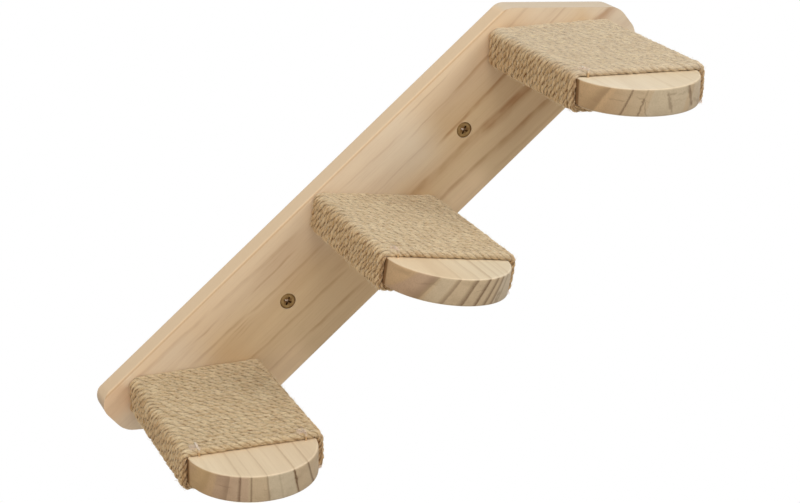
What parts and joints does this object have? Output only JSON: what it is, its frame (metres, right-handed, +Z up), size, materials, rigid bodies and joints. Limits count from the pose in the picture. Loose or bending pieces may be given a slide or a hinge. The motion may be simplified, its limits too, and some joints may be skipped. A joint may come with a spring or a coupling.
{
  "type": "cat ladder",
  "caption": "Wall-mounted cat ladder: a sloping wooden board with round-nosed wooden steps wound in jute rope, screwed to the wall.",
  "frame": {"origin": "centre of the back board's back face, on the wall, midway between the two wall screws", "axes": "+Z up, +Y into the wall, +X to the right seen from the front; the steps reach out along -Y"},
  "size_m": [0.3746, 0.2183, 0.288],
  "materials": {
    "board_pine": "planed pine, satin",
    "step_pine": "planed pine, satin",
    "jute": "twisted natural jute rope",
    "screw": "yellow zinc plated steel",
    "staple": "bright galvanised wire"
  },
  "bodies": {
    "root": {"back_board": "board_pine", "step_lower": "step_pine", "step_middle": "step_pine", "step_upper": "step_pine", "rope_lower": "jute", "rope_middle": "jute", "rope_upper": "jute", "wall_screw_lower": "screw", "wall_screw_upper": "screw", "step_screw_lower_left": "screw", "step_screw_lower_right": "screw", "step_screw_middle_left": "screw", "step_screw_middle_right": "screw", "step_screw_upper_left": "screw", "step_screw_upper_right": "screw", "staple_lower_left": "staple", "staple_lower_right": "staple", "staple_lower_end": "staple", "staple_middle_left": "staple", "staple_middle_end": "staple", "staple_upper_left": "staple", "staple_upper_end": "staple"}
  },
  "joints": []
}
